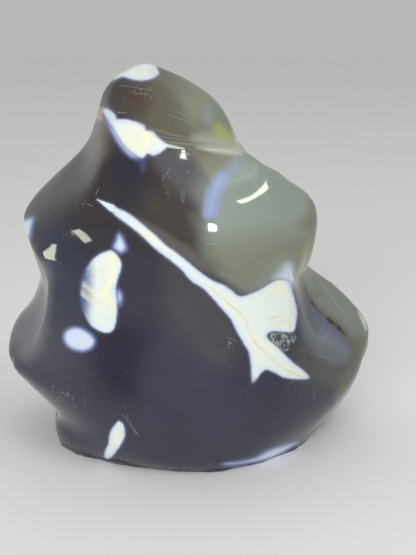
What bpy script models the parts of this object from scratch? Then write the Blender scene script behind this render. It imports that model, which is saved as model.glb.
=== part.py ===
"""A free-standing flame carving in one piece of polished agate, in metres, with +Z up.

The stone is a soft form on a coarse cage. Fifteen lines run up it from the flat foot, each along a ridge,
in a flute or over the middle of a panel, and a small oval closes them at the tip. The front looks along -Y,
and the origin is on the plane that the stone rests on, under the middle of its box.
"""

import math

import bpy
import bmesh
from mathutils import Vector

# Driving dimensions, in millimetres. MM makes them metres.
MM = 0.001

# The lines, in order round the stone from the front middle to the right. Each lists its places on the
# surface as (x, y, z), from the rim of the flat foot up to just under the tip.
LINES = {
    # Up the broad front panel, over the crown and up the hood.
    "front middle": [
        (-4, -42, 0), (-4, -45, 6), (-4, -46, 15), (-5, -47, 28), (-5, -47, 43),
        (-6, -46, 58), (-7, -45, 72), (-8, -44, 87), (-9, -42, 101), (-9, -39, 114),
        (-8, -36, 125), (-8, -32, 135), (-8, -30, 143), (-10, -25, 147), (-13, -17, 157), (-16, -9, 167),
    ],
    # Over the front panel, between its middle and the right lobe.
    "front right": [
        (24, -38, 0), (25, -41, 6), (27, -43, 15), (29, -44, 28), (30, -44, 43),
        (28, -43, 58), (26, -42, 72), (24, -42, 87), (25, -40, 100), (26, -38, 111),
        (22, -34, 122), (15, -29, 132), (8, -28, 141), (6, -23, 144), (1, -15, 153), (-8, -8, 164),
    ],
    # The right edge of the front: up the lobe, along its top and on to the crown's end.
    "right ridge": [
        (45, -25, 0), (48, -27, 6), (51, -30, 15), (54, -31, 28), (55, -30, 43),
        (51, -31, 57), (46, -31, 71), (44, -30, 85), (49, -24, 100), (53.5, -16, 114),
        (41.5, -18.5, 126), (31, -20, 133), (23, -20, 138), (19, -15, 141), (9, -11, 151), (-3, -6, 163),
    ],
    # The turned-back edge of the lobe, behind its front corner.
    "right lip": [
        (53, -17, 0), (57, -18, 6), (63, -19, 15), (68, -19, 28), (68, -15, 43),
        (61, -15, 53), (54, -16, 62), (51, -12, 80), (54, -7, 88), (52, -3, 103),
        (44, -6, 117), (36, -8, 127), (27, -10, 134), (21, -7, 139), (14.5, -5, 152), (1, -2, 163.5),
    ],
    # The crease between the lobe and the wing.
    "right valley": [
        (59, -6, 0), (64, -7, 6), (71, -7, 15), (78, -6, 29), (78, -1, 43),
        (67, -4, 54), (58, -4, 62), (54, 2, 72), (50, 8, 88), (48, 8, 104),
        (41, 6, 115), (34, 2, 124), (26, 0, 131), (22, 2, 138), (15, 2, 153), (2, 3, 164.5),
    ],
    # The rim of the wing, and above it the right shoulder.
    "wing ridge": [
        (64, 11, 0), (70, 11, 6), (76, 11, 14), (82, 11, 27), (87, 11, 44),
        (82, 14, 55), (72, 18, 65), (60, 22, 73), (50, 20, 90), (46, 16, 106),
        (38, 14, 118), (30, 11, 128), (23, 10, 137), (18, 10, 145), (14, 9, 154), (0, 7, 165.5),
    ],
    # The back of the wing.
    "wing back": [
        (53, 31, 0), (57, 33, 6), (64, 34, 15), (69, 34, 28), (69, 35, 43),
        (63, 36, 57), (54, 37, 67), (46, 35, 80), (40, 32, 95), (36, 28, 109),
        (30, 24, 121), (24, 20, 130), (18, 17, 139), (14, 15, 147), (9, 14, 156), (-3, 10, 166),
    ],
    # A low ridge up the back.
    "back ridge": [
        (24, 43, 0), (27, 45, 6), (32, 47, 15), (37, 49, 28), (37, 50, 43),
        (33, 50, 57), (28, 48, 71), (23, 45, 85), (18, 41, 99), (13, 37, 112),
        (9, 33, 124), (6, 29, 133), (3, 25, 141), (1, 21, 149), (-1, 17, 157), (-9, 11, 166),
    ],
    # A shallow flute up the back.
    "back flute": [
        (-6, 43, 0), (-6, 44, 6), (-7, 43, 15), (-10, 41, 28), (-12, 39, 43),
        (-13, 37, 57), (-14, 35, 71), (-15, 33, 86), (-15, 31, 100), (-15, 28, 113),
        (-14, 26, 126), (-13, 23, 135), (-13, 21, 143), (-13, 19, 150), (-12, 17, 158), (-16, 11, 167),
    ],
    # The broad back left.
    "back left": [
        (-33, 41, 0), (-36, 44, 6), (-38, 45, 15), (-41, 47, 28), (-48, 46, 43),
        (-49, 44, 57), (-47, 41, 71), (-42, 38, 86), (-38, 35, 100), (-37, 32, 112),
        (-34, 28, 126), (-28, 23, 137), (-26, 20, 145), (-25, 18, 152), (-23, 15, 160), (-21, 10, 168),
    ],
    # Behind the two tongues of the left side.
    "left back": [
        (-55, 31, 0), (-58, 33, 6), (-60, 34, 15), (-68, 37, 28), (-76, 33, 42),
        (-73, 30, 56), (-66, 28, 70), (-58, 26, 86), (-54, 24, 100), (-56, 22, 111),
        (-51, 23, 122), (-43, 18, 135), (-38, 15, 145), (-35, 13, 153), (-32, 11, 161), (-28, 7, 168),
    ],
    # The outermost line of the left side, over both tongues and the waist between them.
    "left tongue": [
        (-66, 15, 0), (-67.5, 15, 8), (-68, 15, 17), (-84, 11, 31), (-88, 11, 43),
        (-83, 11, 55), (-75, 10, 65), (-67, 8, 86), (-67, 9, 100), (-72, 7, 109),
        (-65, 14, 120), (-50, 13, 134), (-43, 8, 145), (-40, 6, 153), (-37, 4, 161), (-31, 3, 168),
    ],
    # Over the facets of the left side.
    "left facet": [
        (-64, -2, 0), (-66, -1, 8), (-67, 1, 17), (-84, 1, 31), (-81, -2, 45),
        (-73, -6, 60), (-67, -10, 74), (-68, -9, 83), (-71, -8, 98), (-74, -4, 107),
        (-61, -2, 120), (-48, 0, 131), (-41.5, -1, 145), (-38.5, -1, 154), (-36, -1, 162), (-31, 0, 168),
    ],
    # The ridge that parts the left facets from the front.
    "left ridge": [
        (-60, -19, 0), (-61, -19, 8), (-63, -16, 17), (-78, -10, 32), (-73, -12, 42),
        (-66, -19, 60), (-62, -24, 76), (-62, -25, 89), (-66, -22, 99), (-64, -20, 108),
        (-51, -23, 118), (-40, -21, 131), (-35, -16, 149), (-34, -12, 155), (-33, -8, 161), (-30, -4, 167),
    ],
    # Over the front panel, between its middle and the left ridge.
    "front left": [
        (-36, -33, 0), (-37, -36, 6), (-38, -38, 15), (-42, -38, 28), (-42, -38, 43),
        (-41, -37, 58), (-40, -37, 72), (-41, -37, 86), (-42, -36, 98), (-43, -34, 108),
        (-36, -32, 118), (-29, -26, 139), (-25, -23, 152), (-25, -20, 155), (-26, -14, 160), (-26, -7, 166),
    ],
}

# The oval at the tip: its middle, half its width and depth, and how much higher its back is than its middle.
TIP_MIDDLE = (-19, 2.5, 171.5)
TIP_HALF_WIDTH = 5.5
TIP_HALF_DEPTH = 4.5
TIP_RISE = 0.8

# How crisp the ridges and the crease are, from 0, round, to 1, sharp: the line, its first and last row,
# and the crispness. Rows count from 0 at the foot. The crown's ridge runs across the front in one row,
# from each line to the next, and its left end dies away.
CRISP_LINES = [
    ("left ridge", 4, 8, 0.8),
    ("left facet", 9, 11, 0.5),
    ("right ridge", 6, 8, 0.7),
    ("right ridge", 9, 10, 0.2),
    ("right ridge", 10, 12, 0.5),
    ("right valley", 4, 7, 0.9),
    ("wing ridge", 3, 7, 0.7),
    ("back ridge", 3, 13, 0.4),
]
CROWN_ROW = 12
CROWN_RIDGE = [
    ("left ridge", "front left", 0.3),
    ("front left", "front middle", 0.8),
    ("front middle", "front right", 0.9),
    ("front right", "right ridge", 0.9),
]

# Each level of smoothing splits every face of the cage in four.
SMOOTHING_LEVELS = 2
SETTLING_PASSES = 8

# The look of the bare stone.
AGATE_COLOUR = (0.060, 0.058, 0.066, 1.0)
AGATE_ROUGHNESS = 0.08


def clear_scene():
    for thing in list(bpy.data.objects):
        bpy.data.objects.remove(thing, do_unlink=True)


def polished_agate():
    material = bpy.data.materials.new("polished_agate")
    material.use_nodes = True
    shader = material.node_tree.nodes["Principled BSDF"]
    shader.inputs["Base Color"].default_value = AGATE_COLOUR
    shader.inputs["Roughness"].default_value = AGATE_ROUGHNESS
    shader.inputs["Metallic"].default_value = 0.0
    return material


def tip_oval():
    """The places round the tip, one for each line, in the direction in which that line comes up."""
    places = []
    for line in LINES.values():
        along = Vector(line[-1]) - Vector(TIP_MIDDLE)
        angle = math.atan2(along.y, along.x)
        across = TIP_HALF_WIDTH * math.cos(angle)
        back = TIP_HALF_DEPTH * math.sin(angle)
        places.append(Vector(TIP_MIDDLE) + Vector((across, back, TIP_RISE * math.sin(angle))))
    return places


def storey_tube(bm, rows):
    """A plain tube of one ring a row, with one vertex a line, closed at both ends."""
    rings = []
    for row in range(rows):
        ring = bmesh.ops.create_circle(bm, segments=len(LINES), radius=1.0)["verts"]
        bmesh.ops.translate(bm, verts=ring, vec=Vector((0, 0, row)))
        rings.append(ring)
    for lower, upper in zip(rings, rings[1:]):
        around = {edge for vert in lower + upper for edge in vert.link_edges}
        level = [edge for edge in around if abs(edge.verts[0].co.z - edge.verts[1].co.z) < 0.5]
        bmesh.ops.bridge_loops(bm, edges=level)
    bmesh.ops.holes_fill(bm, edges=bm.edges[:])
    bmesh.ops.recalc_face_normals(bm, faces=bm.faces[:])
    return rings


def mark_crisp_edges(bm, rings):
    """The ridges and the crease stay crisp, and the foot's rim stays sharp, so that the foot is flat."""
    crispness = bm.edges.layers.float.new("crease_edge")
    names = list(LINES)
    marks = []
    for name, start, end, amount in CRISP_LINES:
        line = [ring[names.index(name)] for ring in rings[start : end + 1]]
        marks += [(pair, amount) for pair in zip(line, line[1:])]
    crown = rings[CROWN_ROW]
    for start, end, amount in CROWN_RIDGE:
        marks.append(((crown[names.index(start)], crown[names.index(end)]), amount))
    foot = rings[0]
    marks += [(pair, 1.0) for pair in zip(foot, foot[1:] + foot[:1])]
    for pair, amount in marks:
        bm.edges.get(pair)[crispness] = amount


def cage():
    """The tube with each vertex at its place on the stone."""
    lines = [[Vector(place) for place in line] + [tip] for line, tip in zip(LINES.values(), tip_oval())]
    bm = bmesh.new()
    rings = storey_tube(bm, len(lines[0]))
    mark_crisp_edges(bm, rings)
    for column, line in enumerate(lines):
        for row, place in enumerate(line):
            rings[row][column].co = place * MM
    mesh = bpy.data.meshes.new("flame_carving")
    bm.to_mesh(mesh)
    bm.free()
    return mesh


def smooth_places(stone):
    """Where the smoothed surface's vertices are, those of the cage first and in the cage's order."""
    bpy.context.view_layer.update()
    smooth = stone.evaluated_get(bpy.context.evaluated_depsgraph_get()).data
    return [vert.co.copy() for vert in smooth.vertices]


def settle(stone):
    """Smoothing pulls the surface inside its cage, so the cage is pushed out until the surface passes
    through the places that the lines give."""
    wanted = [vert.co.copy() for vert in stone.data.vertices]
    for _ in range(SETTLING_PASSES):
        for vert, goal, reached in zip(stone.data.vertices, wanted, smooth_places(stone)):
            vert.co += goal - reached


def centre_over_foot(stone):
    """The origin goes under the middle of the stone's box, at the height of the foot."""
    places = smooth_places(stone)
    for axis in (0, 1):
        along = [place[axis] for place in places]
        middle = (min(along) + max(along)) / 2
        for vert in stone.data.vertices:
            vert.co[axis] -= middle


def flame_carving(collection):
    stone = bpy.data.objects.new("flame_carving", cage())
    collection.objects.link(stone)
    stone.data.materials.append(polished_agate())
    smoothing = stone.modifiers.new("smoothing", "SUBSURF")
    smoothing.levels = SMOOTHING_LEVELS
    smoothing.render_levels = SMOOTHING_LEVELS
    settle(stone)
    centre_over_foot(stone)
    stone.data.shade_smooth()


clear_scene()
parts = bpy.data.collections.new("orca_agate_flame")
bpy.context.scene.collection.children.link(parts)
flame_carving(parts)
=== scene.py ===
"""A flame carved from one piece of dark agate with white patches, on a pale floor in a soft studio."""

import math

import bmesh
import bpy
import numpy as np
from mathutils import Matrix, Vector
from mathutils.bvhtree import BVHTree


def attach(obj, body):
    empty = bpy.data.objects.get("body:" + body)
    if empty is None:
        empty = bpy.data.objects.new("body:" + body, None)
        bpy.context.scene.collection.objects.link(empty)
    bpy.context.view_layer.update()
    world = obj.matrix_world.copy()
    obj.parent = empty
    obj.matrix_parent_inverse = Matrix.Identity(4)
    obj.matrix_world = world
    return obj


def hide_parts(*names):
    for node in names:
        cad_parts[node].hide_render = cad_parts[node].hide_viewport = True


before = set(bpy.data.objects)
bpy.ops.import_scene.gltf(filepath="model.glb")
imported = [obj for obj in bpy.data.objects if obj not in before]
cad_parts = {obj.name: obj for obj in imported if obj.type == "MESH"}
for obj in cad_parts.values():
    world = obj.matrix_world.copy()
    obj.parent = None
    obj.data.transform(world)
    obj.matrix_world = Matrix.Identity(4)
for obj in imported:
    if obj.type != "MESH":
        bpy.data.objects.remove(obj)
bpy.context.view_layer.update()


# The stone's form. It is one piece of agate, sawn flat under the foot, ground into ridges and hollows,
# and polished all over. The solid's own points are merged, and a finer surface is drawn through them.
MM = 0.001  # in metres
MERGE_REACH = 0.01 * MM
QUAD_BEND = math.radians(50)
QUAD_SKEW = math.radians(80)
FOOT_RIM_ANGLE = math.radians(45)
FOOT_RIM_CREASE = 0.8
FINE_LEVELS = 2
FITTING_PASSES = 4

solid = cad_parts["flame_carving"]
form = bmesh.new()
form.from_mesh(solid.data)
bmesh.ops.remove_doubles(form, verts=form.verts, dist=MERGE_REACH)
bmesh.ops.join_triangles(
    form,
    faces=form.faces,
    angle_face_threshold=QUAD_BEND,
    angle_shape_threshold=QUAD_SKEW,
)
crease = form.edges.layers.float.new("crease_edge")
for edge in form.edges:
    if edge.calc_face_angle(0) > FOOT_RIM_ANGLE:
        edge[crease] = FOOT_RIM_CREASE
rough_mesh = bpy.data.meshes.new("ground_form")
form.to_mesh(rough_mesh)
form.free()

ground_form = bpy.data.objects.new("ground_form", rough_mesh)
bpy.context.scene.collection.objects.link(ground_form)
rounding = ground_form.modifiers.new("rounding", "SUBSURF")
rounding.levels = FINE_LEVELS
rounding.render_levels = FINE_LEVELS


def places(vertices):
    """The places of all the vertices, one row of x, y and z for each."""
    flat = np.empty(3 * len(vertices), np.float32)
    vertices.foreach_get("co", flat)
    return flat.reshape(-1, 3).astype(float)


def polished_surface(rough):
    """The finer mesh of the rough form, as its modifier makes it."""
    graph = bpy.context.evaluated_depsgraph_get()
    return bpy.data.meshes.new_from_object(rough.evaluated_get(graph))


carved_places = places(rough_mesh.vertices)
for _ in range(FITTING_PASSES):
    rounded = polished_surface(ground_form)
    short_by = carved_places - places(rounded.vertices)[: len(carved_places)]
    moved = places(rough_mesh.vertices) + short_by
    rough_mesh.vertices.foreach_set("co", moved.ravel())
    rough_mesh.update()
    bpy.data.meshes.remove(rounded)
stone_mesh = polished_surface(ground_form)
stone_mesh.name = "carved_stone"
bpy.data.objects.remove(ground_form)
stone = bpy.data.objects.new("carved_stone", stone_mesh)
bpy.context.scene.collection.objects.link(stone)
sawn = places(stone_mesh.vertices)
sawn[:, 2] = np.maximum(sawn[:, 2], 0.0)
stone_mesh.vertices.foreach_set("co", sawn.ravel())
stone_mesh.update()
stone_mesh.shade_smooth()


# The markings. Chalky white quartz, blue chalcedony and iron stains run through the agate and show where
# the surface cuts them. Each is an outline or a stroke in mm on the upright plane through the middle of
# the stone, as it is seen from one viewpoint, and is carried onto the surface as a depth in mm.
FRONT_VIEWPOINT = Vector((0.71, -369.40, 196.95))
BACK_VIEWPOINT = Vector((0.0, 420.0, 150.0))

# White quartz with crisp edges.
NECK_PATCH = [
    (-35, 149.5), (-28, 149.5), (-23.5, 148.5), (-19.5, 147), (-18.5, 144.5), (-16, 144.5), (-13, 141.5),
    (-9.5, 138), (-12, 135), (-15.5, 133.5), (-18, 134.5), (-19.5, 133), (-21.3, 132.3), (-24, 134.3),
    (-27.7, 137.5), (-30.3, 141.5), (-33, 146),
]
NECK_SPOT = [
    (-37.5, 153), (-36, 154.3), (-33.5, 153.2), (-32, 151.5), (-31.5, 149.5), (-34.5, 149), (-36, 150.5),
]
BRANCHING_STREAK = [
    (-38, 112), (-34.5, 110.6), (-28.5, 108), (-24.5, 104.8), (-15.5, 97), (-10.5, 92), (-4, 87),
    (1.5, 82), (10.5, 75), (15, 73.2), (19.5, 70.2), (22.5, 67.5), (25, 67), (29, 68.5), (33.5, 70.5),
    (38, 73.5), (42, 75), (45.5, 74.5), (47.5, 71.5), (48.5, 68.5), (50, 63.5), (51, 58.5),
    (50.5, 53), (49.5, 49), (45.5, 48.5), (39.5, 49), (37, 47.5), (38, 45), (44, 39), (49, 33.5),
    (55.5, 28), (58, 24.5), (54, 24), (47, 24.5), (42.5, 26.5), (39, 28.5), (37, 29.5), (34, 27),
    (30.5, 22), (29.5, 30), (28.5, 37.5), (26, 42.5), (22.5, 49), (19, 56), (14.5, 61.5), (9.5, 67.5),
    (5, 72), (1, 74.5), (-3.5, 80), (-9, 85), (-17.5, 92), (-20.5, 95.4), (-25.5, 100), (-32, 105),
    (-35.5, 108.5),
]
TALL_OVAL = [
    (-37.5, 89.5), (-35, 89.5), (-33, 87), (-31.5, 83.5), (-32, 79.5), (-34, 74), (-34.5, 69.5), (-34, 63.5),
    (-34.5, 56.5), (-36, 51), (-39, 49), (-43, 50), (-47, 53), (-50, 59.5), (-51, 66.5), (-50, 74),
    (-47.5, 81.5), (-43, 87),
]
LOW_STREAK = [
    (-35, 2.5), (-33, 0), (-32.5, -5), (-34.5, -10.5), (-37.5, -15), (-40.5, -18.5), (-43, -18.5),
    (-43, -15.5), (-41, -10), (-39.5, -3), (-37, 0.5),
]
TIP_CAP = [
    (-35.5, 165), (-33, 166), (-30, 167), (-27.5, 167.5), (-24.5, 166.5), (-20, 166), (-16.5, 166.5),
    (-14, 167.5), (-12.5, 169), (-13, 170.5), (-15, 176), (-20.5, 180), (-30, 180), (-37, 171),
]

# White and blue chalcedony whose edges are soft, because they lie a little under the polish.
NECK_SHADOW = [
    (-36, 150), (-34, 144), (-30.5, 138), (-26, 133), (-22, 132.5), (-21.5, 137), (-26, 142), (-31.5, 147.5),
]
SMALL_OVAL = [
    (-59.5, 49.5), (-56, 52), (-51, 51.5), (-47, 48.5), (-45, 45), (-47, 41), (-51.5, 39.5), (-57, 41),
    (-60, 45),
]
OVAL_BUMP = [(-35, 70.5), (-33, 70.5), (-31.5, 67), (-32.5, 63), (-34, 62), (-36, 65.5)]
BLUE_DIAMOND = [(-31.8, 98), (-29.5, 93.5), (-29, 90), (-32, 88.5), (-35, 91), (-34, 94)]
SHOULDER_PATCH = [(-79, 103.5), (-73.5, 105), (-70.5, 105.5), (-71.5, 100.5), (-73.5, 94.5), (-78, 94)]
UPPER_PLUME = [(22, 132), (21.5, 128.5), (17.5, 122), (14.5, 119.5), (12, 119), (14, 125), (17.5, 129.5)]
LOWER_PLUME = [
    (8, 110.5), (8.5, 115), (11, 120.5), (13.5, 124), (16, 124), (14.5, 118), (12.5, 112.5), (11.5, 106.5),
    (7.5, 106),
]
BRANCH_FADE = [(40, 74.5), (43, 79.5), (45.5, 82.5), (47.5, 81), (49, 74), (46, 71)]
FOOT_STREAK = [
    (15.5, -22.5), (20.5, -23), (29, -22), (36, -21), (44, -18), (49.5, -14.5), (53.5, -11), (51.5, -10.5),
    (44.5, -12.5), (38.5, -15), (34.5, -17.5), (32, -19), (24.5, -21), (18.5, -21.5),
]
OVAL_BLUE_SIDE = [
    (-49.5, 85), (-46, 86), (-44.5, 79.5), (-45, 73), (-45, 65.5), (-47, 58), (-48.5, 52), (-58, 54),
    (-59, 78),
]

# White and blue markings behind, as they are seen from the back. Their x is the same as in front.
BACK_PATCH = [
    (-30, 129), (-25, 126), (-20, 121), (-21, 114), (-17, 107), (-18, 98), (-23, 92), (-25, 84), (-30, 88),
    (-31, 97), (-35, 103), (-34, 113), (-37, 120),
]
BACK_STREAK = [
    (43, 100), (36, 93), (29, 88), (25, 80), (18, 71), (15, 62), (6, 56), (2, 49), (-8, 43), (-15, 39),
    (-24, 37), (-31, 31), (-22, 29), (-14, 32), (-10, 27), (-2, 22), (-3, 31), (4, 38), (13, 44), (19, 54),
    (25, 60), (30, 69), (34, 75), (40, 86),
]
BACK_OVAL = [
    (52, 44), (49, 51), (43, 53), (39, 48), (35, 43), (37, 34), (36, 28), (42, 24), (49, 27), (51, 35),
]
BACK_CLOUD = [(4, 140), (12, 132), (10, 120), (16, 110), (12, 102), (3, 108), (-3, 120), (-2, 132)]

# Strokes, each with x, z and half its width: cream hearts in the white, seams of colour, healed cracks and
# painted highlights.
CREAM_HEARTS = [
    [(-36.5, 85, 0.8), (-36, 78, 1.1), (-38, 72, 0.9), (-40, 68.5, 1.5)],
    [(-19.5, 139, 1.6), (-18.5, 142, 1.4)],
]
IRON_SEAM = [
    (54.5, 70, 0.2), (57, 65, 0.3), (60, 60.5, 0.3), (64, 57, 0.5), (67, 54, 0.7), (70, 51.5, 0.8),
    (72.5, 48.7, 0.6), (75, 46, 0.2),
]
OLIVE_CRUST = [(59.5, 62.5, 0.3), (63, 59.5, 1.4), (66.5, 56.5, 1.9), (70, 53.5, 1.7), (74.5, 48.5, 0.5)]
RUST_TAIL = [(71, 51, 0.3), (75, 46.5, 0.7), (78, 42.5, 0.8), (80.5, 39, 0.2)]
# A painted glint along the rim of the wing.
RIM_GLINT = [(80, 58.5, 0.2), (82.5, 54.5, 0.7), (84.3, 49.5, 0.3)]
AMBER_HOOK = [(-11.5, 120.5, 0.5), (-9.5, 119.5, 0.8), (-9, 114, 0.5)]
VIOLET_SEAM = [(54, 68, 0.3), (57.5, 60, 0.6), (62.5, 53.5, 0.9), (70, 47, 1.0), (77, 39, 0.6)]
# Pale healed cracks. The fourth stroke, down the lobe's right edge, is a painted highlight of that edge.
PALE_CRACKS_AND_HIGHLIGHT = [
    [(53, 40, 0.0), (61.5, 36.5, 0.1), (71.5, 33, 0.0)],
    [(-17, 145.5, 0.0), (-8, 143, 0.1), (3, 140.5, 0.2), (14, 138, 0.3), (23, 135.5, 0.2)],
    [(-10.5, 139.5, 0.3), (0.5, 138.5, 0.4), (11.5, 137, 0.5), (23, 135, 0.4)],
    [(56, 96, 0.2), (53.5, 88, 0.5), (52.5, 81.5, 0.6), (51, 76.5, 0.8), (49.5, 71, 0.4)],
    [(57.5, 78.5, 0.1), (63.5, 71, 0.4), (70, 62, 0.3), (76, 54.5, 0.0)],
]
SHALLOW_WEDGE = [
    (-23, 104.5, 0.6), (-18, 101, 1.5), (-12.5, 96.5, 2.2), (-6, 91.5, 2.6), (0.5, 87, 2.4), (7, 81, 1.2),
]

# Where the polish is duller: a crease beside the wing, as a stroke, and the hollow under the hood.
DULL_CREASE = [(52.7, 75.5, 1.5), (56.5, 65.5, 2.0), (58, 55.5, 2.2), (61.5, 48.5, 1.5)]
DULL_HOLLOW = [(8, 134), (20, 136), (30, 133.5), (29, 126), (21, 122), (12.5, 119.5), (8, 126)]

# Spots that were scuffed, each with x, z and its reach.
SCUFFED_SPOTS = [
    (-47.5, 110, 3.0), (-55, 96.5, 3.0), (-52, 61, 2.0), (-63, 65, 2.0), (-54, 20.5, 2.0), (-67, 20.5, 1.5),
    (-42, 24, 1.5), (-9.5, 124.5, 2.0), (-0.5, 128.5, 2.6), (-2, 133, 3.0), (19, 42.5, 2.0),
    (48.5, 20.5, 2.2), (55, 16, 2.5), (64.5, 25, 2.0), (73.5, 35, 2.6), (-22.5, 162, 2.6), (-17, 161, 2.4),
    (-25, 157.5, 2.6), (-62.5, 16.5, 4.0), (-55, 13.5, 4.0), (-9, 118, 1.6), (60, 14, 2.5),
]

# The crystal pocket beside the branch.
CRYSTAL_POCKET = [
    (38.5, 48.5), (44.5, 48.5), (50, 48), (50.5, 44.5), (48.5, 42), (46, 38.5), (42, 41.5), (39, 44.5),
]

CURVE_STEPS = 5
FAR_OUTSIDE = -30.0
NOT_QUITE_NONE = 1e-9


def rounded_outline(corners):
    """Points along a smooth closed curve through the corners."""
    corner = np.array(corners, float)
    before = np.roll(corner, 1, axis=0)
    after = np.roll(corner, -1, axis=0)
    beyond = np.roll(corner, -2, axis=0)
    stretches = []
    for t in np.arange(CURVE_STEPS) / CURVE_STEPS:
        bend = 2 * before - 5 * corner + 4 * after - beyond
        twist = 3 * corner - before - 3 * after + beyond
        stretches.append(corner + 0.5 * (t * (after - before) + t ** 2 * bend + t ** 3 * twist))
    return np.stack(stretches, axis=1).reshape(-1, 2)


def distance_to_side(points, start, end):
    """Distance from each point to one straight side, and how far along the side its nearest place is."""
    side = end - start
    along = ((points - start) @ side) / max(side @ side, NOT_QUITE_NONE)
    along = np.clip(along, 0, 1)
    nearest = start + along[:, None] * side
    return np.linalg.norm(points - nearest, axis=1), along


def depth_in_outline(points, corners):
    """Depth in mm of each point inside a closed outline, and less than nothing outside it."""
    outline = rounded_outline(corners)
    depth = np.full(len(points), FAR_OUTSIDE)
    near = np.all((points > outline.min(0) + FAR_OUTSIDE) & (points < outline.max(0) - FAR_OUTSIDE), axis=1)
    close = points[near]
    reach = np.full(len(close), -FAR_OUTSIDE)
    inside = np.zeros(len(close), bool)
    for start, end in zip(outline, np.roll(outline, -1, axis=0)):
        reach = np.minimum(reach, distance_to_side(close, start, end)[0])
        crosses = (start[1] > close[:, 1]) != (end[1] > close[:, 1])
        climb = end[1] - start[1] if end[1] != start[1] else NOT_QUITE_NONE
        meets = start[0] + (close[:, 1] - start[1]) * (end[0] - start[0]) / climb
        inside ^= crosses & (close[:, 0] < meets)
    depth[near] = np.where(inside, reach, -reach)
    return depth


def depth_in_stroke(points, route):
    """Depth in mm of each point inside a stroke, whose places each give x, z and half the width."""
    depth = np.full(len(points), FAR_OUTSIDE)
    for (x0, z0, half0), (x1, z1, half1) in zip(route, route[1:]):
        reach, along = distance_to_side(points, np.array((x0, z0)), np.array((x1, z1)))
        depth = np.maximum(depth, half0 + along * (half1 - half0) - reach)
    return depth


HIDDEN_GAP = 1.0
surface = places(stone_mesh.vertices) / MM
normals = np.empty(3 * len(surface), np.float32)
stone_mesh.vertex_normals.foreach_get("vector", normals)
normals = normals.reshape(-1, 3).astype(float)
tree = BVHTree.FromPolygons([tuple(p) for p in surface], [tuple(f.vertices) for f in stone_mesh.polygons])


def seen_from(viewpoint):
    """Where each place of the surface shows on the upright middle plane, and how squarely it faces."""
    eye = np.array(viewpoint)
    ray = surface - eye
    on_plane = eye + ray * (-eye[1] / ray[:, 1])[:, None]
    length = np.linalg.norm(ray, axis=1)
    facing = -np.sum(normals * ray, axis=1) / length
    for index in np.nonzero(facing > 0)[0]:
        hit = tree.ray_cast(viewpoint, Vector(ray[index]), length[index] - HIDDEN_GAP)
        if hit[0] is not None:
            facing[index] = -1.0
    return on_plane[:, (0, 2)], facing


def mark(name, depth):
    """Keeps a marking on the stone's surface, as a depth in mm at each of its points."""
    layer = stone_mesh.attributes.new(name, "FLOAT", "POINT")
    layer.data.foreach_set("value", depth.astype(np.float32))


def kept_on_side(depth, facing):
    """The depth, made to fade where the surface turns away from the viewpoint."""
    return np.minimum(depth, WRAP * (facing + WRAP_START))


def cut_by(points, facing, outlines=(), strokes=()):
    """The depth of each point in the deepest of several markings, kept on the side where they are seen."""
    depth = np.full(len(points), FAR_OUTSIDE)
    for corners in outlines:
        depth = np.maximum(depth, depth_in_outline(points, corners))
    for route in strokes:
        depth = np.maximum(depth, depth_in_stroke(points, route))
    return kept_on_side(depth, facing)


WRAP = 14.0
WRAP_START = 0.12
in_front, front_facing = seen_from(FRONT_VIEWPOINT)
behind, back_facing = seen_from(BACK_VIEWPOINT)

# The cap of the tip is cut by its outline in front and by a wavy, slightly slanted plane behind.
TIP_CAP_PLACE = np.array((-20.0, 0.0, 168.2))
TIP_CAP_SLANT = np.array((-0.03, 0.10, 1.0))
BACK_SOFT_THINNER = 0.8
long_wave = 1.4 * np.sin(surface[:, 0] * 0.24 + 1)
short_wave = 0.5 * np.sin(surface[:, 0] * 0.55)
cap_behind = (surface - TIP_CAP_PLACE) @ TIP_CAP_SLANT + long_wave + short_wave
tip_cap = np.where(front_facing > 0, depth_in_outline(in_front, TIP_CAP), cap_behind)
crisp_marks = [NECK_PATCH, NECK_SPOT, BRANCHING_STREAK, TALL_OVAL, LOW_STREAK]
soft_marks = [NECK_SHADOW, SMALL_OVAL, OVAL_BUMP, BLUE_DIAMOND, SHOULDER_PATCH, FOOT_STREAK]
front_white = cut_by(in_front, front_facing, crisp_marks)
front_soft = cut_by(in_front, front_facing, soft_marks)
back_white = cut_by(behind, back_facing, [BACK_PATCH, BACK_STREAK])
back_soft = cut_by(behind, back_facing, [BACK_OVAL, BACK_CLOUD]) - BACK_SOFT_THINNER
mark("facing", front_facing)
mark("white", np.maximum(np.maximum(front_white, back_white), tip_cap))
mark("soft_white", np.maximum(front_soft, back_soft))
mark("hollow", cut_by(in_front, front_facing, [DULL_HOLLOW], [DULL_CREASE]))
for name, corners in {
    "branch_fade": BRANCH_FADE,
    "plume": LOWER_PLUME,
    "faint_plume": UPPER_PLUME,
    "blue_side": OVAL_BLUE_SIDE,
    "pocket": CRYSTAL_POCKET,
}.items():
    mark(name, cut_by(in_front, front_facing, [corners]))

SPOT_RUN = 0.1
spots = [[(x, z, reach), (x + SPOT_RUN, z, reach)] for x, z, reach in SCUFFED_SPOTS]
for name, routes in {
    "crust": [OLIVE_CRUST],
    "rust": [RUST_TAIL],
    "rim_glint": [RIM_GLINT],
    "cream": CREAM_HEARTS,
    "iron": [IRON_SEAM],
    "violet": [VIOLET_SEAM],
    "cracks_and_highlight": PALE_CRACKS_AND_HIGHLIGHT,
    "amber": [AMBER_HOOK],
    "wedge": [SHALLOW_WEDGE],
    "scuffed": spots,
}.items():
    mark(name, cut_by(in_front, front_facing, strokes=routes))


# The polished agate. The ground is smoky grey chalcedony in soft zones that run through the stone: warm
# and dark at the neck, olive on the hood, milky on the right lobe, violet and slate low down. The polish
# is glassy, with fine scratches, small pits and healed cracks left by the grinding. A few zones and strokes
# are painted highlights, sheen and reflections of that polish.
def shown(red, green, blue):
    """A colour given as a screen shows it, from 0 to 255."""
    return tuple(((v / 255 + 0.055) / 1.055) ** 2.4 for v in (red, green, blue)) + (1.0,)


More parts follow.
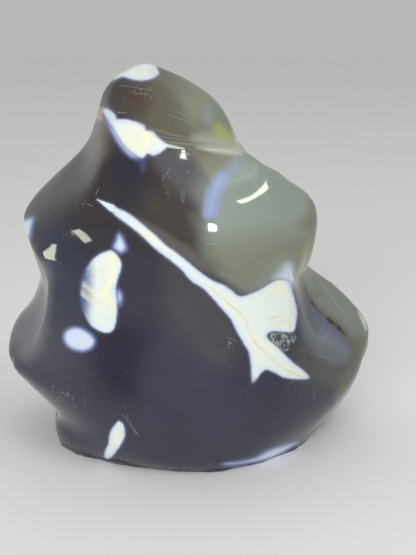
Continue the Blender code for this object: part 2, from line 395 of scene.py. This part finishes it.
class Wire:
    """A socket in a node tree. Sums on it add Math nodes, and node() adds any other node."""

    def __init__(self, tree, socket=None):
        self.tree = tree
        self.socket = socket

    def node(self, kind, settings=None, sockets=None, output=0):
        made = self.tree.nodes.new(kind)
        for name, value in (settings or {}).items():
            setattr(made, name, value)
        for name, value in (sockets or {}).items():
            if isinstance(value, Wire):
                self.tree.links.new(value.socket, made.inputs[name])
            else:
                made.inputs[name].default_value = value
        return Wire(self.tree, made.outputs[output] if made.outputs else None)

    def __add__(self, other):
        return self.node("ShaderNodeMath", {"operation": "ADD"}, {0: self, 1: other})

    def __mul__(self, other):
        return self.node("ShaderNodeMath", {"operation": "MULTIPLY"}, {0: self, 1: other})

    def __sub__(self, other):
        return self.node("ShaderNodeMath", {"operation": "SUBTRACT"}, {0: self, 1: other})

    def __rsub__(self, other):
        return self.node("ShaderNodeMath", {"operation": "SUBTRACT"}, {0: other, 1: self})

    def __rtruediv__(self, other):
        return self.node("ShaderNodeMath", {"operation": "DIVIDE"}, {0: other, 1: self})

    def root(self):
        return self.node("ShaderNodeMath", {"operation": "SQRT"}, {0: self})

    __radd__ = __add__
    __rmul__ = __mul__


def rise(value, low, high, low_gives=0.0, high_gives=1.0):
    """Climbs smoothly from one number to another as the value goes from low to high."""
    return value.node(
        "ShaderNodeMapRange",
        {"interpolation_type": "SMOOTHSTEP"},
        {"Value": value, "From Min": low, "From Max": high, "To Min": low_gives, "To Max": high_gives},
    )


def tinted(under, over, cover):
    """One colour laid over another where the cover is 1."""
    return cover.node("ShaderNodeMix", {"data_type": "RGBA"}, {0: cover, 6: under, 7: over}, output=2)


def laid(under, over, depth, begins, full, most=1.0, where=1.0):
    """One colour laid over another, from the depth in mm where it begins to the one where it covers most."""
    return tinted(under, over, rise(depth, begins, full, 0.0, most) * where)


def cloud(place, grain_mm, detail=3.0, roughness=0.5, distortion=0.0):
    """Soft noise from 0 to 1, whose lumps are about so many mm across."""
    return place.node(
        "ShaderNodeTexNoise",
        {},
        {
            "Vector": place,
            "Scale": 1 / (grain_mm * MM),
            "Detail": detail,
            "Roughness": roughness,
            "Distortion": distortion,
        },
    )


def cells(place, grain_mm, output="Distance"):
    """Scattered points about so many mm apart: the distance from the nearest, or its own random colour."""
    sockets = {"Vector": place, "Scale": 1 / (grain_mm * MM)}
    return place.node("ShaderNodeTexVoronoi", {}, sockets, output)


def turned(place, angles, stretch=(1, 1, 1)):
    """The same place, turned and then stretched, for a pattern that runs one way."""
    radians = tuple(math.radians(a) for a in angles)
    return place.node(
        "ShaderNodeMapping",
        {"vector_type": "TEXTURE"},
        {"Vector": place, "Rotation": radians, "Scale": stretch},
    )


def along_axis(vector, axis):
    """One part of a place or a direction: 0 is x, 1 is y and 2 is z."""
    return vector.node("ShaderNodeSeparateXYZ", {}, {0: vector}, axis)


agate = bpy.data.materials.new("polished_agate")
agate.use_nodes = True
agate.node_tree.nodes.clear()
start = Wire(agate.node_tree)
place = start.node("ShaderNodeTexCoord", output="Object")
height = along_axis(place, 2)


def depth_of(name):
    """The depth in mm that the mesh keeps for a marking."""
    return start.node("ShaderNodeAttribute", {"attribute_name": name}, output="Fac")


# Hairlines are finer than the mesh, so their depth is worked out in the material, on the same middle plane.
from_eye = place.node(
    "ShaderNodeVectorMath",
    {"operation": "SUBTRACT"},
    {0: place, 1: tuple(FRONT_VIEWPOINT * MM)},
)
carry = -FRONT_VIEWPOINT.y / along_axis(from_eye, 1)
plane_x = along_axis(from_eye, 0) * carry + FRONT_VIEWPOINT.x
plane_z = along_axis(from_eye, 2) * carry + FRONT_VIEWPOINT.z
seen_side = rise(depth_of("facing"), 0.0, 0.2)


def hairline(start_x, start_z, end_x, end_z, start_half, end_half):
    """Depth in mm inside a straight line, from its two ends and half widths on the middle plane."""
    run_x, run_z = end_x - start_x, end_z - start_z
    reach_x, reach_z = plane_x - start_x, plane_z - start_z
    along = (reach_x * run_x + reach_z * run_z) * (1 / (run_x ** 2 + run_z ** 2))
    along = along.node("ShaderNodeClamp", {}, {"Value": along})
    off_x, off_z = reach_x - along * run_x, reach_z - along * run_z
    return along * (end_half - start_half) + start_half - (off_x * off_x + off_z * off_z).root()


# Each zone of the ground: its colour, how softly it fades in mm, how far it covers, and its outline.
SLATE = shown(60, 61, 73)
WARM_SMOKE = shown(55, 50, 53)
GROUND_ZONES = {
    "zone_front_brown": (shown(72, 66, 63), 9.0, 0.9, [
        (-24, 118), (-11, 115), (3, 110.5), (7.5, 94.5), (4, 86), (-9, 95.5), (-22.5, 106.5),
    ]),
    "zone_neck_blue": (shown(45, 46, 58), 6.0, 0.8, [
        (-31.5, 132), (-22, 132), (-19.5, 125), (-22, 112), (-30.5, 113.5), (-34, 124.5),
    ]),
    "zone_left_blue": (shown(54, 58, 74), 8.0, 0.8, [
        (-67.5, 103.5), (-54.5, 99.5), (-46.5, 85), (-53.5, 65.5), (-63.5, 53), (-70, 66), (-66.5, 85.5),
    ]),
    "zone_violet": (shown(46, 42, 56), 9.0, 0.9, [
        (-43.5, 50.5), (-28.5, 54.5), (-19, 42.5), (-19.5, 21.5), (-34.5, 13.5), (-46, 27),
    ]),
    "zone_plum": (shown(63, 62, 77), 7.0, 0.8, [
        (-19, 40), (0, 45), (12, 29.5), (7, 13.5), (-12.5, 11), (-24.5, 21.5),
    ]),
    "zone_right_low": (shown(78, 80, 78), 6.0, 0.9, [
        (52.5, 49.5), (61.5, 42), (75, 31.5), (76, 24), (66, 19.5), (54.5, 24), (48, 34),
    ]),
    "zone_front_grey": (shown(74, 74, 78), 8.0, 0.9, [
        (-11, 90), (8, 83), (20.5, 58.5), (23, 40.5), (16, 31), (0.5, 42.5), (-11, 60),
    ]),
    # Lighter grey on the left facet: partly its own tone, partly a painted reflection of the bright surround.
    "zone_left_tongue_and_reflection": (shown(105, 106, 112), 5.0, 0.9, [
        (-84, 55), (-77, 72), (-68, 84), (-66, 76), (-68, 58), (-71, 44), (-78, 36), (-84, 42),
    ]),
    "zone_under_crown": (shown(96, 94, 95), 6.0, 0.9, [
        (-13, 136), (5, 135), (7.5, 125), (3.5, 113.5), (-6, 118), (-11, 127),
    ]),
    "zone_hood_olive": (shown(97, 94, 78), 9.0, 1.0, [
        (-15.5, 172), (-10, 175.5), (5, 170.5), (22, 154), (32.5, 135), (23, 128.5), (5, 131.5), (-9, 136),
        (-17, 143), (-21, 148.5), (-19.5, 160),
    ]),
    "zone_hood_dark": (shown(40, 35, 33), 5.0, 0.95, [
        (-37.5, 159), (-33, 164), (-27, 165), (-23, 160.5), (-25, 154.5), (-29.5, 150.5), (-33.5, 152),
        (-36.5, 154.5),
    ]),
    "zone_neck_brown": (shown(88, 79, 73), 4.0, 0.8, [
        (-40, 150), (-36, 148.5), (-34.5, 143), (-35.5, 136), (-40.5, 131.5), (-44, 132.5), (-42, 140.5),
    ]),
    "zone_under_violet": (shown(87, 85, 92), 5.0, 0.8, [
        (-13.5, 135), (-1, 135), (3.5, 129.5), (0.5, 123.5), (-10.5, 124.5), (-15, 129),
    ]),
    "zone_hood_pale": (shown(124, 130, 114), 9.0, 1.0, [
        (-1, 169.5), (11.5, 168), (27, 150), (38, 133.5), (17.5, 132.5), (7, 139.5), (0.5, 151.5),
    ]),
    # The pale brim above the crown ridge: its own light olive, brightened as a painted sheen of the bright
    # surround.
    "zone_hood_rim_and_sheen": (shown(168, 172, 152), 3.5, 0.9, [
        (2, 142), (15, 143), (26, 137.5), (34, 134), (25, 132.5), (11, 136),
    ]),
    "zone_lobe_milk": (shown(139, 150, 142), 9.0, 1.0, [
        (10.5, 130.5), (23, 136), (36, 138), (54, 126), (68, 106), (64, 83.5), (54, 69), (38, 65), (23.5, 74),
        (14, 86), (8.5, 96.5), (7, 111), (7.5, 122.5),
    ]),
    "zone_lobe_tan": (shown(124, 127, 113), 10.0, 1.0, [
        (7.5, 88.5), (19.5, 94), (35, 95), (51, 99), (64, 101), (60, 83.5), (51.5, 77), (44, 83.5), (34, 73),
        (23.5, 70), (15, 77),
    ]),
    "zone_lobe_edge": (shown(112, 110, 88), 4.0, 0.9, [
        (58, 118), (63, 106), (62, 83), (54, 69), (49, 71), (53, 87), (55.5, 101), (54, 113),
    ]),
    "zone_olive_wedge": (shown(128, 126, 108), 3.0, 0.85, [
        (0.5, 136), (7.5, 135), (22, 133), (20.5, 128.5), (16.5, 124), (11, 123.5), (5, 129.5),
    ]),
    # Painted highlight: the bright line and window reflection along the crown ridge, laid as a pale zone.
    "zone_painted_ridge_highlight": (shown(204, 208, 186), 1.6, 0.7, [
        (3.5, 137), (11.5, 137.5), (22, 136.5), (24.5, 134.5), (19.5, 134), (11.5, 135),
    ]),
    "zone_lobe_brown": (shown(104, 98, 82), 3.5, 0.5, [
        (50, 103), (54, 106), (58, 105), (58, 100), (54.5, 99), (50.5, 101),
    ]),
    "zone_lobe_side": (shown(136, 134, 88), 2.0, 0.85, [
        (51, 91.5), (54.5, 94), (56.5, 88.5), (55, 80.5), (53, 74), (51.5, 69), (50, 73), (50.5, 83.5),
    ]),
    "zone_wing": (shown(119, 126, 120), 3.0, 1.0, [
        (54, 79.5), (67, 84), (92, 56), (93, 30), (80, 41), (69.5, 53.5), (60.5, 61), (54.5, 70),
    ]),
    "zone_band": (shown(91, 96, 104), 2.0, 0.95, [
        (52.5, 72), (56, 66), (59, 61.5), (63, 58), (68, 53), (73, 48), (78, 42), (78.5, 34), (74.5, 31),
        (67.5, 33), (59.5, 38.5), (54.5, 45.5), (52, 56),
    ]),
    "zone_band_blue": (shown(104, 114, 131), 2.5, 0.7, [
        (64, 54), (69, 49), (74.5, 43), (77, 37), (74.5, 35), (69.5, 39), (65, 44), (62, 50),
    ]),
    "zone_edge_olive": (shown(96, 96, 76), 3.0, 0.8, [
        (76.5, 43.5), (79.5, 46.5), (84.5, 44.5), (83, 35), (79, 24.5), (75, 16), (71.5, 13.5), (73, 23.5),
        (76.5, 34),
    ]),
    "zone_brown_spot": (shown(72, 56, 45), 5.0, 0.7, [
        (-26, 161), (-20, 161), (-16.5, 156.5), (-19.5, 152), (-25.5, 152.5), (-29, 156),
    ]),
    "zone_pink_spot": (shown(176, 150, 138), 1.0, 0.8, [
        (-41, 150.5), (-40, 154), (-38, 155), (-36.5, 154), (-37.5, 151.5), (-38, 149),
    ]),
    "zone_hood_blue": (shown(118, 127, 122), 6.0, 0.8, [
        (-1, 162), (8, 163), (11, 158), (8, 154), (1, 155),
    ]),
    "zone_yellow_ring": (shown(132, 138, 96), 3.5, 0.6, [
        (0.5, 158.5), (8, 159), (8.5, 155), (5, 153), (4, 147), (0.5, 148),
    ]),
    "zone_yellow_spot": (shown(166, 171, 84), 3.0, 0.9, [
        (11.5, 146.5), (14.5, 147), (18.5, 143.5), (20, 139.5), (16.5, 140), (12.5, 143),
    ]),
    "zone_neck_tail": (shown(74, 78, 116), 1.6, 0.8, [
        (-24, 134.5), (-19.5, 134), (-19, 130), (-20, 125.5), (-22, 129),
    ]),
    "zone_grey_oval": (shown(136, 144, 142), 2.2, 0.8, [
        (6.5, 155), (10, 155), (11.5, 151), (9.5, 147.5), (6.5, 150),
    ]),
}

# A zone that fades within this many mm is only skin-deep, in front. The others run through the stone. Soft
# clouds make the edges of the zones wander, by a share of their softness, and shade the whole ground.
SKIN_DEEP = 2.0
DRIFT_WANDER = 1.2
WISP_WANDER = 0.6
DRIFT_SHADE = 0.16
WISP_SHADE = 0.22
SPECK_SHADE = 0.08
drift = cloud(place, 34, detail=2.0)
wisp = cloud(turned(place, (0, 35, 0), (2, 1, 0.6)), 14, detail=4.0, distortion=0.6)
speck = cloud(place, 1.2, detail=2.0)
ground = tinted(SLATE, WARM_SMOKE, rise(height + drift * 0.04, 0.080, 0.150))
for zone, (paint, softness, most, corners) in GROUND_ZONES.items():
    depth = depth_in_outline(in_front, corners)
    if softness < SKIN_DEEP:
        depth = kept_on_side(depth, front_facing)
    mark(zone, depth)
    wander = (drift - 0.5) * (softness * DRIFT_WANDER) + (wisp - 0.5) * (softness * WISP_WANDER)
    ground = laid(ground, paint, depth_of(zone) + wander, -softness, softness, most)
shade = 1.0 + (wisp - 0.5) * WISP_SHADE + (drift - 0.5) * DRIFT_SHADE + (speck - 0.5) * SPECK_SHADE
ground = ground.node("ShaderNodeVectorMath", {"operation": "SCALE"}, {0: ground, "Scale": shade})

# Seams beside the white: a smoky wedge, a violet line, a brown and ochre iron seam and pale healed cracks,
# and two painted highlights, one on the lobe's edge and one on the wing's rim.
# Their edges are frayed by noise in mm, ragged in lumps of 5 mm and fringe in lumps of about 1 mm.
SMOKY_WEDGE = shown(104, 98, 92)
VIOLET = shown(92, 92, 128)
AMBER = shown(104, 86, 62)
OCHRE = shown(112, 92, 62)
OLIVE_STAIN = shown(116, 110, 66)
RUST_BLACK = shown(34, 24, 20)
PALE_CRACK_AND_HIGHLIGHT = shown(170, 172, 160)
PAINTED_GLINT_WHITE = shown(214, 220, 214)
ragged = (cloud(place, 5.0, detail=5.0, roughness=0.65) - 0.5) * 1.4
fringe = (cloud(place, 1.1, detail=3.0, roughness=0.6) - 0.5) * 0.7
patchy = rise(cloud(place, 3.0, detail=3.0), 0.42, 0.62)
stain = depth_of("iron") + fringe * 1.6
ground = laid(ground, SMOKY_WEDGE, depth_of("wedge") + ragged, -1.8, 1.4, 0.65)
ground = laid(ground, AMBER, depth_of("amber") + ragged, -1.2, 0.8, 0.6)
ground = laid(ground, VIOLET, depth_of("violet") + fringe, -1.2, 0.5, 0.6)
ground = laid(ground, OLIVE_STAIN, depth_of("crust") + fringe * 2, -0.8, 0.9, 0.9, patchy)
ground = laid(ground, OCHRE, depth_of("rust") + fringe, -1.0, 0.6, 0.6)
ground = laid(ground, OCHRE, stain, -0.9, 0.2, 0.5)
ground = laid(ground, RUST_BLACK, stain + patchy * 0.7, 0.0, 0.7, 0.95)
# Pale healed cracks, and a painted highlight down the lobe's right edge.
ground = laid(ground, PALE_CRACK_AND_HIGHLIGHT, depth_of("cracks_and_highlight") + fringe * 0.8, -0.9, 0.6, 0.32)
# A painted glint along the wing's rim.
ground = laid(ground, PAINTED_GLINT_WHITE, depth_of("rim_glint") + fringe, -0.8, 0.6, 0.8)

# Blue chalcedony and white quartz. A thin violet-blue rim leads over to the chalky white, which has blue
# and cream clouds in it.
RIM_BLUE = shown(94, 101, 144)
SOFT_BLUE = shown(116, 128, 182)
PLUME_BLUE = shown(148, 162, 204)
PALE_BLUE = shown(206, 218, 238)
CHALK = shown(222, 231, 225)
CREAM = shown(240, 238, 200)
SIDE_BLUE = shown(88, 102, 152)
VEIN_YELLOW = shown(218, 198, 124)

# Yellow veins in the white, each a route of x and z on the middle plane.
VEIN_HALF = 0.08
YELLOW_VEINS = [
    [
        (7.5, 73.5), (18, 63.5), (23.5, 59), (26, 55.5), (30.5, 44.5), (34, 40), (39, 34.5), (47, 28.5),
        (53, 25.5),
    ],
    [(33, 41.5), (38.5, 37), (43, 33)],
    [(37, 54.5), (40.5, 56.5), (46.5, 56.5)],
    [(38.5, 51.5), (41.5, 53.5), (48, 54.5)],
    [(47.5, 64.5), (48, 58), (47.5, 51.5)],
]
vein = 0.0
for route in YELLOW_VEINS:
    for vein_start, vein_end in zip(route, route[1:]):
        stretch = hairline(*vein_start, *vein_end, VEIN_HALF, VEIN_HALF)
        vein = rise(stretch + fringe * 1.1, -0.6, 0.15) + vein
vein = vein.node("ShaderNodeClamp", {}, {"Value": vein})
broken = rise(cloud(place, 4.0, detail=3.0), 0.35, 0.65, 0.15, 0.75)

edge = depth_of("white") + ragged * 0.7 + fringe * 0.8 - 0.1
white = rise(edge, -0.7, 0.8)
chalk = laid(CHALK, PALE_BLUE, edge - wisp * 1.2, 2.2, -0.2, 0.85)
chalk = laid(chalk, SIDE_BLUE, depth_of("blue_side") + ragged * 2.2, -2.5, 5.0)
chalk = tinted(chalk, CREAM, rise(wisp + fringe * 0.2, 0.48, 0.72, 0.0, 0.6))
chalk = laid(chalk, CREAM, depth_of("cream") + ragged, -1.6, 1.2, 0.8)
chalk = tinted(chalk, VEIN_YELLOW, vein * seen_side * broken)

plume = depth_of("plume") + ragged
soft_edge = depth_of("soft_white") + ragged * 0.7 - 0.4
uneven_rim = rise(wisp, 0.35, 0.65, 0.22, 0.62)
colour = laid(ground, PLUME_BLUE, depth_of("faint_plume") + ragged, -3.5, 2.0, 0.4)
colour = laid(colour, PLUME_BLUE, plume, -3.2, 0.8, 0.9)
colour = laid(colour, PALE_BLUE, plume, 0.0, 2.8, 0.2)
colour = laid(colour, PALE_BLUE, depth_of("branch_fade") + ragged, -3.5, 4.0, 0.9)
colour = laid(colour, SOFT_BLUE, soft_edge, -2.2, 0.3, 0.7)
colour = laid(colour, PALE_BLUE, soft_edge, -0.8, 1.8)
colour = laid(colour, RIM_BLUE, edge, -1.9, 0.0, 1.0, uneven_rim)

# Three fine white lines: the neck patch drawn out along the crown ridge, the point of the streak, and a
# glint.
neck_tail = hairline(-10, 138, -2, 136.5, 0.7, 0.25) + fringe * 0.5
streak_point = hairline(-41.3, 113.7, -35, 109.8, 0.1, 1.6) + fringe * 0.6
# The glint beside the branch, on the lobe's edge, is a painted highlight laid in chalk white.
painted_edge_glint = hairline(46.6, 80.5, 48, 75, 0.1, 0.6) + fringe * 0.5
glint_and_tail = rise(painted_edge_glint, -0.5, 0.4, 0.0, 0.7) + rise(neck_tail, -0.5, 0.3, 0.0, 0.8)
colour = laid(colour, RIM_BLUE, streak_point, -1.5, 0.0, 0.5, seen_side)
colour = laid(colour, CHALK, streak_point, -0.4, 0.4, 1.0, seen_side)
colour = tinted(colour, CHALK, glint_and_tail * seen_side)
colour = tinted(colour, chalk, white)

# The crystal pocket: small grey and clear crystals that glitter.
CRYSTAL_DARK = shown(72, 76, 82)
CRYSTAL_PALE = shown(150, 156, 160)
CRYSTAL_MM = 0.9
crystals = cells(place, CRYSTAL_MM)
facet = cells(place, CRYSTAL_MM, "Color")
facet_shade = start.node("ShaderNodeSeparateColor", {}, {0: facet})
sugar = tinted(CRYSTAL_DARK, CRYSTAL_PALE, rise(facet_shade, 0.35, 0.95))
pocket = rise(depth_of("pocket") + ragged * 0.6 + fringe, -0.6, 0.5)
colour = tinted(colour, sugar, pocket)


# Wear of the polish: short scratches several ways, pinholes, and spots that were rubbed and stay rougher.
LANE_STRETCH = 12
SHARP_SHARE = 0.01


def scratches(angles, grain_mm, share, width=0.09):
    """Short straight marks that run one way, with most of the surface left clear."""
    lane = turned(place, angles, (1, 1, LANE_STRETCH))
    nick = rise(cells(lane, grain_mm), width, width * 0.3)
    draw = place.node("ShaderNodeSeparateColor", {}, {0: cells(lane, grain_mm, "Color")})
    return nick * rise(draw, share + SHARP_SHARE, share)


# Single long scratches, each from one end to the other on the middle plane.
HAIR_SCRATCHES = [
    (-33.5, 6.0, -27.0, -5.0),
    (-31.5, 5.0, -25.5, -6.5),
    (-12.0, 122.0, -8.0, 128.0),
    (-29.0, 164.0, -15.5, 162.0),
    (-25.0, 161.0, -17.0, 159.8),
    (-9.0, 151.5, 1.0, 148.0),
    (-5.5, 153.0, -1.0, 150.5),
    (-20.0, 143.0, 4.0, 139.5),
    (-31.0, 152.5, -27.0, 152.2),
    (-3.0, 118.0, -3.5, 112.5),
    (-2.0, 117.5, -2.5, 112.0),
    (8.0, 92.5, 12.0, 92.8),
    (34.0, 122.5, 37.0, 121.0),
    (28.0, 90.0, 34.0, 90.5),
    (18.0, 46.0, 22.0, 44.5),
    (-42.0, 116.0, -40.5, 118.5),
    (-46.0, 112.0, -43.5, 110.5),
]
hair = 0.0
for line in HAIR_SCRATCHES:
    hair = rise(hairline(*line, 0.0, 0.0) + fringe * 0.15, -0.22, 0.0) + hair
hair = hair * seen_side * rise(fringe, -0.25, 0.05)

# Each way of the fine scratches: its three turns in degrees, its grain in mm and the share that shows.
SCRATCH_WAYS = [
    ((15, 20, 0), 1.8, 0.16),
    ((-20, 65, 10), 2.0, 0.16),
    ((10, -35, 20), 1.9, 0.14),
    ((-25, -75, 15), 2.2, 0.14),
]
RUBBED_SHARE = 0.9
RUBBED_WIDTH = 0.24
scratched = 0.0
for way in SCRATCH_WAYS:
    scratched = scratches(*way) + scratched
rubbed = scratches((10, 28, 0), 0.9, RUBBED_SHARE, RUBBED_WIDTH)
rubbed = rubbed + scratches((-10, -48, 20), 1.0, RUBBED_SHARE, RUBBED_WIDTH)
scuffed = rise(depth_of("scuffed") + ragged * 1.6, -1.8, 1.5)
flecks = rise(cloud(place, 1.1, detail=2.0), 0.40, 0.60)
PINHOLE_MM = 3.6
pitted = rise(cells(place, PINHOLE_MM), 0.09, 0.03) * rise(cloud(place, 12), 0.50, 0.62)

# The wear is whitish in the ground, and hardly shows in the white.
SCRATCH_WHITE = shown(200, 200, 196)
wear = scratched * 0.30 + pitted * 0.12 + rubbed * flecks * scuffed * 0.75 + hair * 0.35
colour = tinted(colour, SCRATCH_WHITE, wear * (1 - white * 0.8))

# The polish is duller in the hollow and near the foot, and higher up on the sides that are turned away.
# The hollow's share is squared, so that its edge is softer.
POLISHED = 0.05
hollow_share = rise(depth_of("hollow"), -7.0, 3.0)
foot_share = rise(height, 0.018, 0.004, 0.0, 0.7)
far_foot_share = rise(height, 0.034, 0.016, 0.0, 0.6) * (1 - seen_side)
unpolished = hollow_share * hollow_share + foot_share + far_foot_share
worn = scratched * 0.15 + pitted * 0.3 + scuffed * 0.06 + pocket * 0.35 + white * 0.04
gloss_loss = POLISHED + worn + drift * 0.03 + unpolished * 0.42

WAVY_MM = 14
RELIEF_MM = 0.12
wavy = cloud(place, WAVY_MM, detail=1.0)
hollows = (1 - pitted) * 0.5 + (1 - scratched) * 0.2 + pocket * crystals * 0.8 + wavy * 0.6
relief = place.node("ShaderNodeBump", {}, {"Height": hollows, "Strength": 0.35, "Distance": RELIEF_MM * MM})
AGATE_IOR = 1.54
skin = place.node(
    "ShaderNodeBsdfPrincipled",
    {},
    {"Base Color": colour, "Roughness": gloss_loss, "IOR": AGATE_IOR, "Normal": relief},
)
place.node("ShaderNodeOutputMaterial", {}, {"Surface": skin})

stone_mesh.materials.clear()
stone_mesh.materials.append(agate)
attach(stone, "root")
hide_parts("flame_carving")


# The studio. A pale floor that the stone rests on, an even pale surround that is dim behind the viewer,
# two soft lamps from the front and small lamps whose glints show the polish.
FLOOR_RADIUS = 3.0
FLOOR_SIDES = 96
FLOOR_PALE = shown(241, 241, 241)
FLOOR_DULL = shown(238, 238, 238)
FLOOR_GRAIN = 9.0

base = bmesh.new()
bmesh.ops.create_circle(base, cap_ends=True, segments=FLOOR_SIDES, radius=FLOOR_RADIUS)
floor_mesh = bpy.data.meshes.new("studio_floor")
base.to_mesh(floor_mesh)
base.free()
floor = bpy.data.objects.new("studio_floor", floor_mesh)
bpy.context.scene.collection.objects.link(floor)
floor.visible_glossy = False
card = bpy.data.materials.new("pale_card")
card.use_nodes = True
card.node_tree.nodes.clear()
card_start = Wire(card.node_tree)
card_place = card_start.node("ShaderNodeTexCoord", output="Object")
grain = card_place.node(
    "ShaderNodeTexNoise",
    {},
    {"Vector": card_place, "Scale": FLOOR_GRAIN, "Detail": 4.0},
)
matt = card_start.node(
    "ShaderNodeBsdfPrincipled",
    {},
    {"Base Color": tinted(FLOOR_PALE, FLOOR_DULL, grain), "Roughness": 0.8, "Specular IOR Level": 0.2},
)
card_start.node("ShaderNodeOutputMaterial", {}, {"Surface": matt})
floor_mesh.materials.append(card)

# The surround is brightest beyond the stone, and glows a little from above and below. To the camera it is
# one even pale grey.
BACKDROP_GLOW = 0.482
AIR_TINT = (1.0, 0.995, 0.975, 1.0)

world = bpy.data.worlds.new("studio_air")
bpy.context.scene.world = world
world.use_nodes = True
world.node_tree.nodes.clear()
air = Wire(world.node_tree)
toward = air.node("ShaderNodeTexCoord", output="Generated")
ahead = along_axis(toward, 1)
lift = along_axis(toward, 2)
to_camera = air.node("ShaderNodeLightPath", output="Is Camera Ray")
wall_glow = rise(ahead, -0.60, 0.40, 0.12, 0.62)
ceiling_glow = rise(lift, 0.30, 0.95, 0.0, 0.22)
table_glow = rise(lift, -0.9, -0.1, 0.2, 0.0)
glow = wall_glow + ceiling_glow + table_glow
strength = glow * (1 - to_camera) + to_camera * BACKDROP_GLOW
backdrop = air.node("ShaderNodeBackground", {}, {"Color": AIR_TINT, "Strength": strength})
air.node("ShaderNodeOutputWorld", {}, {"Surface": backdrop})


STONE_MIDDLE = Vector((0.0, 0.0, 0.08))
PLAIN_WHITE = (1.0, 1.0, 1.0)


def lamp(name, left, right, width, brightness, tint=PLAIN_WHITE, mirrored=True):
    """A flat lamp turned towards the stone, from the two ends of its middle line and its width in metres.

    One that is mirrored shows as a glint and lights nothing. The other kind lights and makes no glint.
    """
    left, right = Vector(left), Vector(right)
    spot = (left + right) / 2
    backward = (spot - STONE_MIDDLE).normalized()
    along = right - left
    upward = backward.cross(along).normalized()
    light = bpy.data.lights.new(name, "AREA")
    light.shape = "RECTANGLE"
    light.size = along.length
    light.size_y = width
    light.energy = brightness * math.pi * along.length * width
    light.color = tint
    holder = bpy.data.objects.new(name, light)
    bpy.context.scene.collection.objects.link(holder)
    facing = Matrix((upward.cross(backward), upward, backward)).transposed()
    holder.matrix_world = Matrix.Translation(spot) @ facing.to_4x4()
    holder.visible_glossy = mirrored
    holder.visible_diffuse = not mirrored


# Each lamp's two ends and its width are in metres. The floor isn't mirrored, so a mirrored lamp may reach
# below it.
LAMP_WARM = (1.0, 0.99, 0.96)
WINDOW_GREEN = (0.90, 1.0, 0.78)
lamp("front_soft", (-0.73, -0.92, 0.34), (0.03, -1.18, 0.34), 0.8, 5.0, mirrored=False)
lamp("side_soft", (0.60, -0.71, 0.95), (0.90, -0.19, 0.95), 0.6, 2.6, LAMP_WARM, mirrored=False)
lamp("left_window", (-1.24, -0.70, 0.58), (-1.08, -1.11, 0.17), 0.19, 11.0, WINDOW_GREEN)
lamp("low_left_window", (-1.49, -0.44, -0.02), (-1.45, -0.42, -0.32), 0.13, 11.0, WINDOW_GREEN)
lamp("lobe_window", (0.80, -0.82, 1.14), (1.07, -0.20, 1.19), 0.10, 17.0, WINDOW_GREEN)
lamp("spark", (0.04, -1.50, 0.36), (0.18, -1.50, 0.36), 0.12, 60.0)

# The camera. It stands at the front viewpoint, higher than the stone, and looks down at it as the photo
# does. The lens is the one that fits the photo.
SENSOR_MM = 36.0
LENS_MM = 54.1
NEAREST_SEEN = 0.01
CAMERA_SPOT = FRONT_VIEWPOINT * MM
LOOK = Vector((0.02038, 0.95042, -0.31030)).normalized()

view = bpy.data.cameras.new("front_view")
view.sensor_width = SENSOR_MM
view.lens = LENS_MM
view.clip_start = NEAREST_SEEN
camera = bpy.data.objects.new("front_view", view)
bpy.context.scene.collection.objects.link(camera)
side = LOOK.cross(Vector((0, 0, 1))).normalized()
up = side.cross(LOOK)
turn = Matrix((side, up, -LOOK)).transposed()
camera.matrix_world = Matrix.Translation(CAMERA_SPOT) @ turn.to_4x4()
bpy.context.scene.camera = camera
bpy.context.scene.view_settings.view_transform = "Standard"
